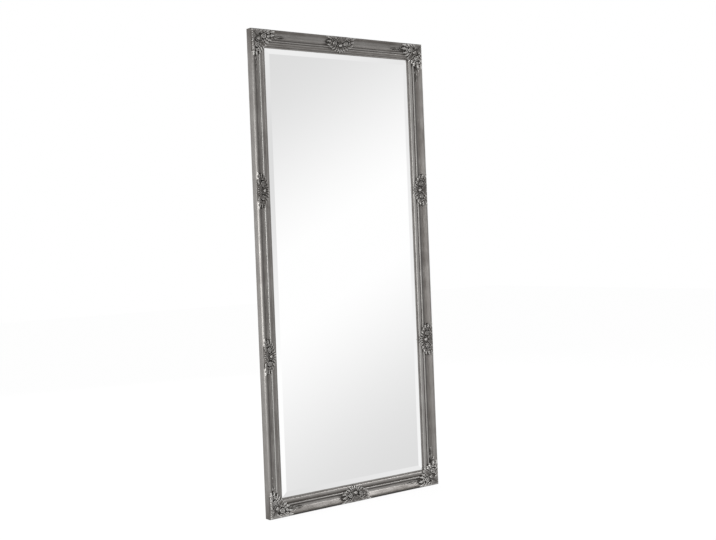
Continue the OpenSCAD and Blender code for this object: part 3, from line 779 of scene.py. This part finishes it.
class Nodes:
    """A short way to build a material's nodes."""

    def __init__(self, name):
        self.material = bpy.data.materials.new(name)
        self.material.use_nodes = True
        self.tree = self.material.node_tree
        self.shader = self.tree.nodes["Principled BSDF"]

    def add(self, kind, **settings):
        """A new node with its settings."""
        node = self.tree.nodes.new(kind)
        for key, value in settings.items():
            setattr(node, key, value)
        return node

    def link(self, source, target):
        """Joins an output to an input."""
        self.tree.links.new(source, target)

    def set(self, **values):
        """Sets the shader's own sockets; an underscore stands for a space."""
        for key, value in values.items():
            self.shader.inputs[key.replace("_", " ")].default_value = value

    def math(self, operation, first, second, clamp=False):
        """The outcome of a sum on two numbers or outputs."""
        node = self.add("ShaderNodeMath", operation=operation, use_clamp=clamp)
        for socket, value in zip(node.inputs, (first, second)):
            if isinstance(value, (int, float)):
                socket.default_value = value
            else:
                self.link(value, socket)
        return node.outputs[0]

    def noise(self, vector, scale, detail, roughness=0.55, stretch=None):
        """Soft noise from 0 to 1, stretched along an axis where that is asked for."""
        if stretch:
            mapping = self.add("ShaderNodeMapping")
            mapping.inputs["Scale"].default_value = stretch
            self.link(vector, mapping.inputs["Vector"])
            vector = mapping.outputs[0]
        node = self.add("ShaderNodeTexNoise")
        node.inputs["Scale"].default_value = scale
        node.inputs["Detail"].default_value = detail
        node.inputs["Roughness"].default_value = roughness
        self.link(vector, node.inputs["Vector"])
        return node.outputs["Fac"]

    def ramp(self, factor, *stops):
        """Colours by a factor; the first two stops are the ends."""
        node = self.add("ShaderNodeValToRGB")
        ramp = node.color_ramp
        for k, (place, colour) in enumerate(stops):
            stop = ramp.elements[k] if k < 2 else ramp.elements.new(place)
            stop.position = place
            stop.color = (*colour, 1)
        self.link(factor, node.inputs[0])
        return node.outputs[0]

    def bump(self, height, strength, distance):
        """Fine relief of the surface by a height."""
        node = self.add("ShaderNodeBump")
        node.inputs["Strength"].default_value = strength
        node.inputs["Distance"].default_value = distance
        self.link(height, node.inputs["Height"])
        self.link(node.outputs[0], self.shader.inputs["Normal"])

    def object_place(self):
        """Where a point lies in its piece."""
        return self.add("ShaderNodeTexCoord").outputs["Object"]

    def run_place(self):
        """Where a point lies on a rail's flat map."""
        return self.add("ShaderNodeUVMap", uv_map="run").outputs[0]


DARK = (0.030, 0.027, 0.024)
SHADE = (0.109, 0.098, 0.089)
PEWTER = (0.234, 0.222, 0.211)
BRIGHT = (0.455, 0.445, 0.428)
CAST_BRIGHT = (0.55, 0.54, 0.52)
BRUSH_SHARE = 0.42
CLOUD_SHARE = 0.30
PINE_DARK = (0.30, 0.185, 0.098)
PINE_MIDDLE = (0.48, 0.33, 0.195)
PINE_PALE = (0.56, 0.405, 0.255)
BOARD_DARK = (0.12, 0.064, 0.032)
BOARD_PALE = (0.235, 0.140, 0.076)
ZINC = (0.58, 0.59, 0.60)
BRIGHT_ZINC = (0.66, 0.67, 0.68)
CARD = ((0.55, 0.53, 0.48), (0.70, 0.68, 0.62))
CORK = ((0.20, 0.11, 0.05), (0.38, 0.23, 0.12))


def pewter(name, place, streak, bright, speckle):
    """Silver paint with a dark wash left in the grooves and rubbed bright on the crests; its wear values
    also carry painted light and shade.
    """
    n = Nodes(name)
    where = getattr(n, place)()
    wear_and_painted_light = n.add("ShaderNodeAttribute", attribute_name="wear_and_painted_light").outputs["Fac"]
    brushed = n.noise(where, 60, detail=5, stretch=streak)
    cloudy = n.noise(n.object_place(), 14, detail=3)
    grain = n.noise(n.object_place(), 420, detail=3, roughness=0.7)
    level = n.math("ADD", wear_and_painted_light, n.math("MULTIPLY", n.math("SUBTRACT", brushed, 0.5), BRUSH_SHARE))
    level = n.math("ADD", level, n.math("MULTIPLY", n.math("SUBTRACT", cloudy, 0.5), CLOUD_SHARE))
    level = n.math("ADD", level, n.math("MULTIPLY", n.math("SUBTRACT", grain, 0.5), speckle), clamp=True)
    colour = n.ramp(level, (0.02, DARK), (0.95, bright), (0.28, SHADE), (0.52, PEWTER))
    n.link(colour, n.shader.inputs["Base Color"])
    rough = n.ramp(level, (0.05, (0.60,) * 3), (0.9, (0.22,) * 3))
    n.link(rough, n.shader.inputs["Roughness"])
    metal = n.ramp(level, (0.05, (0.25,) * 3), (0.45, (0.85,) * 3))
    n.link(metal, n.shader.inputs["Metallic"])
    height = n.math("ADD", n.math("MULTIPLY", brushed, 0.6), n.math("MULTIPLY", grain, 0.4))
    n.bump(height, 1.4 * speckle, 0.0004)
    return n.material


def bare_wood():
    """Pale pine of the frame's back, with its grain along each length."""
    n = Nodes("bare_pine")
    run = n.run_place()
    grain = n.noise(run, 9, detail=8, roughness=0.62, stretch=(1.2, 38, 1))
    fine = n.noise(run, 120, detail=3, stretch=(0.6, 14, 1))
    level = n.math("ADD", n.math("MULTIPLY", grain, 0.75), n.math("MULTIPLY", fine, 0.25))
    colour = n.ramp(level, (0.25, PINE_DARK), (0.75, PINE_PALE), (0.5, PINE_MIDDLE))
    n.link(colour, n.shader.inputs["Base Color"])
    n.set(Roughness=0.72)
    n.bump(level, 0.4, 0.0006)
    return n.material


def hardboard():
    """Brown pressed board with mottled fibres."""
    n = Nodes("hardboard")
    place = n.object_place()
    fibre = n.noise(place, 260, detail=6, roughness=0.7)
    blotch = n.noise(place, 7, detail=4)
    level = n.math("ADD", n.math("MULTIPLY", fibre, 0.6), n.math("MULTIPLY", blotch, 0.4))
    colour = n.ramp(level, (0.3, BOARD_DARK), (0.72, BOARD_PALE))
    n.link(colour, n.shader.inputs["Base Color"])
    n.set(Roughness=0.66)
    n.bump(fibre, 0.5, 0.0004)
    return n.material


def zinc(name, tint, roughness):
    """Zinc-plated steel with a faint cloudy bloom."""
    n = Nodes(name)
    place = n.object_place()
    bloom = n.noise(place, 160, detail=4)
    fine = n.noise(place, 1400, detail=2)
    dim = tuple(0.78 * c for c in tint)
    n.link(n.ramp(bloom, (0.35, dim), (0.65, tint)), n.shader.inputs["Base Color"])
    n.set(Metallic=1.0)
    rough = n.math("ADD", n.math("MULTIPLY", bloom, 0.16), roughness - 0.08)
    n.link(rough, n.shader.inputs["Roughness"])
    n.bump(fine, 0.15, 0.0001)
    return n.material


def silvered_glass():
    """The mirror's face, whose silvering shows through clear glass."""
    n = Nodes("silvered_glass")
    n.set(Base_Color=(0.955, 0.955, 0.955, 1), Metallic=1.0, Roughness=0.004)
    return n.material


def rubber():
    """Matt black rubber with a fine speckle."""
    n = Nodes("black_rubber")
    speck = n.noise(n.object_place(), 700, detail=3)
    n.link(n.ramp(speck, (0.3, (0.012,) * 3), (0.7, (0.028,) * 3)), n.shader.inputs["Base Color"])
    n.set(Roughness=0.62)
    n.bump(speck, 0.3, 0.0002)
    return n.material


def plain_card(name, low, high):
    """Card, cork and other fibrous stuff inside the frame."""
    n = Nodes(name)
    fibre = n.noise(n.object_place(), 340, detail=5)
    n.link(n.ramp(fibre, (0.3, low), (0.7, high)), n.shader.inputs["Base Color"])
    n.set(Roughness=0.85)
    n.bump(fibre, 0.3, 0.0003)
    return n.material


def dress(node, material):
    """Gives a CAD node its material."""
    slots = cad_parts[node].data.materials
    slots.clear()
    slots.append(material)


# Stage, lights and camera

# The studio in the reflections: bands that sweep across, a right side, and where it dims or is even.
# A span is a direction's X, Z or share to the front where a change starts and where it is full.
SWEEP_X = 3.19
SWEEP_Z = 4.155
SWEEP_OFFSET = -0.12
SWEEP_MEAN = 0.909
SWEEP_DEPTH = 0.152
SWEEP_TOP = 1.045
RIGHT_SPAN = (0.68, 0.75)
RIGHT_MEAN = 0.905
RIGHT_FALL = 0.75
UPPER_SPAN = (0.24, 0.32)
UPPER_LEVEL = 0.90
SKY_SPAN = (0.50, 0.85)
SKY_LEVEL = 0.5
GROUND_SPAN = (-0.68, -0.95)
GROUND_LEVEL = 0.7
FRONT_AT = (-0.035, -0.999)
FRONT_SPAN = (0.93, 1.0)
FRONT_LEVEL = 0.75
WORLD_LIGHT = 0.66

FLOOR_HALF = 12.0
FLOOR_GAP = 0.0005
FLOOR_GLOW = 1.1
FLOOR_GLOW_SHARE = 0.82


def white_world():
    """White behind the object, soft grey light on it, and a pale studio sweep in its reflections."""
    world = bpy.data.worlds.new("studio")
    world.use_nodes = True
    bpy.context.scene.world = world
    tree = world.node_tree
    out = tree.nodes["World Output"]
    path = tree.nodes.new("ShaderNodeLightPath")
    place = tree.nodes.new("ShaderNodeTexCoord")
    split = tree.nodes.new("ShaderNodeSeparateXYZ")
    tree.links.new(place.outputs["Generated"], split.inputs[0])

    def calc(operation, first, second):
        node = tree.nodes.new("ShaderNodeMath")
        node.operation = operation
        for socket, value in zip(node.inputs, (first, second)):
            if isinstance(value, (int, float)):
                socket.default_value = value
            else:
                tree.links.new(value, socket)
        return node.outputs[0]

    def ramp(value, start, full, low, high):
        node = tree.nodes.new("ShaderNodeMapRange")
        for name, number in (("From Min", start), ("From Max", full), ("To Min", low), ("To Max", high)):
            node.inputs[name].default_value = number
        tree.links.new(value, node.inputs["Value"])
        return node.outputs[0]

    def blend(first, second, share):
        gap = calc("MULTIPLY", calc("SUBTRACT", second, first), share)
        return calc("ADD", first, gap)

    across = calc("MULTIPLY", split.outputs["X"], -SWEEP_X)
    upward = calc("MULTIPLY", split.outputs["Z"], SWEEP_Z)
    q = calc("ADD", calc("ADD", across, upward), SWEEP_OFFSET)
    band = calc("COSINE", calc("MULTIPLY", q, math.pi), 0)
    level = calc("MINIMUM", calc("ADD", calc("MULTIPLY", band, SWEEP_DEPTH), SWEEP_MEAN), SWEEP_TOP)
    right_level = calc("ADD", calc("MULTIPLY", split.outputs["Z"], -RIGHT_FALL), RIGHT_MEAN)
    level = blend(level, right_level, ramp(split.outputs["X"], *RIGHT_SPAN, 0, 1))
    level = blend(level, UPPER_LEVEL, ramp(split.outputs["Z"], *UPPER_SPAN, 0, 1))
    front_x = calc("MULTIPLY", split.outputs["X"], FRONT_AT[0])
    front_y = calc("MULTIPLY", split.outputs["Y"], FRONT_AT[1])
    ahead = calc("ADD", front_x, front_y)
    for value, span, dim in (
        (split.outputs["Z"], SKY_SPAN, SKY_LEVEL),
        (split.outputs["Z"], GROUND_SPAN, GROUND_LEVEL),
        (ahead, FRONT_SPAN, FRONT_LEVEL),
    ):
        level = calc("MULTIPLY", level, ramp(value, *span, 1, dim))
    lights = []
    for strength in (level, 1.0, WORLD_LIGHT):
        node = tree.nodes.new("ShaderNodeBackground")
        node.inputs["Color"].default_value = (1, 1, 1, 1)
        if isinstance(strength, float):
            node.inputs["Strength"].default_value = strength
        else:
            tree.links.new(strength, node.inputs["Strength"])
        lights.append(node.outputs[0])
    swept, white, soft = lights
    glossy = tree.nodes.new("ShaderNodeMixShader")
    tree.links.new(path.outputs["Is Glossy Ray"], glossy.inputs[0])
    tree.links.new(soft, glossy.inputs[1])
    tree.links.new(swept, glossy.inputs[2])
    seen = tree.nodes.new("ShaderNodeMixShader")
    plain = calc("MAXIMUM", path.outputs["Is Camera Ray"], path.outputs["Is Transmission Ray"])
    tree.links.new(plain, seen.inputs[0])
    tree.links.new(glossy.outputs[0], seen.inputs[1])
    tree.links.new(white, seen.inputs[2])
    tree.links.new(seen.outputs[0], out.inputs["Surface"])


def white_floor():
    """A pale floor that melts into the white and keeps the mirror's soft shadow."""
    level = cad_box[0].z - FLOOR_GAP
    mesh = bpy.data.meshes.new("floor")
    corners = [(sx * FLOOR_HALF, sy * FLOOR_HALF, level) for sx, sy in ((-1, -1), (1, -1), (1, 1), (-1, 1))]
    mesh.from_pydata(corners, [], [(0, 1, 2, 3)])
    floor = bpy.data.objects.new("floor", mesh)
    bpy.context.scene.collection.objects.link(floor)
    n = Nodes("pale_floor")
    n.set(Base_Color=(0.70, 0.70, 0.70, 1), Roughness=0.9)
    glow = n.add("ShaderNodeEmission")
    glow.inputs["Color"].default_value = (1, 1, 1, 1)
    glow.inputs["Strength"].default_value = FLOOR_GLOW
    path = n.add("ShaderNodeLightPath")
    seen = n.math("MAXIMUM", path.outputs["Is Camera Ray"], path.outputs["Is Transmission Ray"])
    mix = n.add("ShaderNodeMixShader")
    n.link(n.math("MULTIPLY", seen, FLOOR_GLOW_SHARE), mix.inputs[0])
    n.link(n.shader.outputs[0], mix.inputs[1])
    n.link(glow.outputs[0], mix.inputs[2])
    n.link(mix.outputs[0], n.tree.nodes["Material Output"].inputs["Surface"])
    mesh.materials.append(n.material)
    floor.visible_glossy = False


def kept_out_of_lamps(node):
    """A collection that bars the lamps from one node, so that its reflections hold no softbox."""
    barred = bpy.data.collections.new("not_lit_by_lamps")
    barred.objects.link(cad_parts[node])
    barred.collection_objects[0].light_linking.link_state = "EXCLUDE"
    return barred


def soft_lamp(name, at, aim, size, power, barred, spread=180):
    """A softbox at a place, turned to what it lights, that barred nodes don't reflect."""
    lamp = bpy.data.lights.new(name, "AREA")
    lamp.spread = math.radians(spread)
    lamp.shape = "RECTANGLE"
    lamp.size, lamp.size_y = size
    lamp.energy = power
    holder = bpy.data.objects.new(name, lamp)
    holder.location = at
    holder.rotation_mode = "QUATERNION"
    holder.rotation_quaternion = (Vector(aim) - Vector(at)).to_track_quat("-Z", "Y")
    holder.visible_camera = False
    holder.light_linking.receiver_collection = barred
    bpy.context.scene.collection.objects.link(holder)


def photo_camera():
    """The photograph's own view of the mirror."""
    lens = bpy.data.cameras.new("camera")
    lens.sensor_width = SENSOR_W
    lens.lens = FOCAL_PX / PICTURE_W_PX * SENSOR_W
    lens.shift_y = (AXIS_Y_PX - PICTURE_H_PX / 2) / PICTURE_W_PX
    camera = bpy.data.objects.new("camera", lens)
    back = -CAMERA_FORWARD.normalized()
    right = CAMERA_UP.cross(back).normalized()
    up = back.cross(right)
    turn = Matrix((right, up, back)).transposed().to_4x4()
    camera.matrix_world = Matrix.Translation(CAMERA_AT) @ turn
    bpy.context.scene.collection.objects.link(camera)
    bpy.context.scene.camera = camera


# Making it all

bpy.context.scene.view_settings.view_transform = "Standard"
photo_camera()
white_world()
white_floor()
not_lit = kept_out_of_lamps("mirror_glass")
soft_lamp("left_softbox", (-2.8, 0.1, 0.0), (0, 0.1, 0.0), (3.4, 1.3), 46, not_lit)
soft_lamp("right_softbox", (1.6, -0.65, 1.2), (-0.32, 0, -0.85), (0.8, 0.8), 2.5, not_lit, spread=80)
soft_lamp("key_softbox", (-2.5, -3.8, 0.2), (0.1, 0, 0.0), (1.5, 1.6), 16, not_lit)
soft_lamp("back_softbox", (0.8, 3.2, 1.2), (0, 0, 0), (1.6, 1.6), 60, not_lit)

rail_paint = pewter("pewter_moulding", "run_place", (0.35, 9, 1), BRIGHT, 0.14)
cast_paint = pewter("pewter_castings", "object_place", (1.5, 1.5, 1.5), CAST_BRIGHT, 0.25)
wood = bare_wood()
for side, name in enumerate(RAILS):
    rail = rail_mesh(name + "_finished", side)
    rail.data.materials.append(rail_paint)
    rail.data.materials.append(wood)
    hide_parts(name)

BOTTOM_MOTIF_X = (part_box("bottom_ornament")[0].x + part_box("bottom_ornament")[1].x) / 2 / MM
SIDE_MOTIF_Z = (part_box("left_upper_ornament")[0].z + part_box("left_upper_ornament")[1].z) / 2 / MM
motif = motif_relief()
corner = corner_relief()
castings = [
    ("top_ornament", place_on_side(0, 0)),
    ("right_upper_ornament", place_on_side(1, -SIDE_MOTIF_Z)),
    ("right_lower_ornament", place_on_side(1, SIDE_MOTIF_Z)),
    ("bottom_ornament", place_on_side(2, -BOTTOM_MOTIF_X)),
    ("left_lower_ornament", place_on_side(3, -SIDE_MOTIF_Z)),
    ("left_upper_ornament", place_on_side(3, SIDE_MOTIF_Z)),
]
for name, place in castings:
    relief_piece(name + "_cast", motif, place, [name]).data.materials.append(cast_paint)
corners = (("top_left", -1, 1), ("top_right", 1, 1), ("bottom_left", -1, -1), ("bottom_right", 1, -1))
for name, sx, sz in corners:
    piece = relief_piece(f"corner_{name}_cast", corner, place_in_corner(sx, sz), ["corner_ornament_" + name])
    piece.data.materials.append(cast_paint)

steel = zinc("zinc_plate", ZINC, 0.34)
bright_steel = zinc("zinc_ring", BRIGHT_ZINC, 0.24)
dress("mirror_glass", silvered_glass())
dress("backboard", hardboard())
dress("cushion_sheet", plain_card("cushion_card", *CARD))
dress("setting_blocks", plain_card("cork_blocks", *CORK))
dress("wall_bumpers", rubber())
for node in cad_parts:
    if "hanger" in node or node in ("v_nails", "backboard_screws"):
        dress(node, steel)
    if "_ring_" in node:
        dress(node, bright_steel)
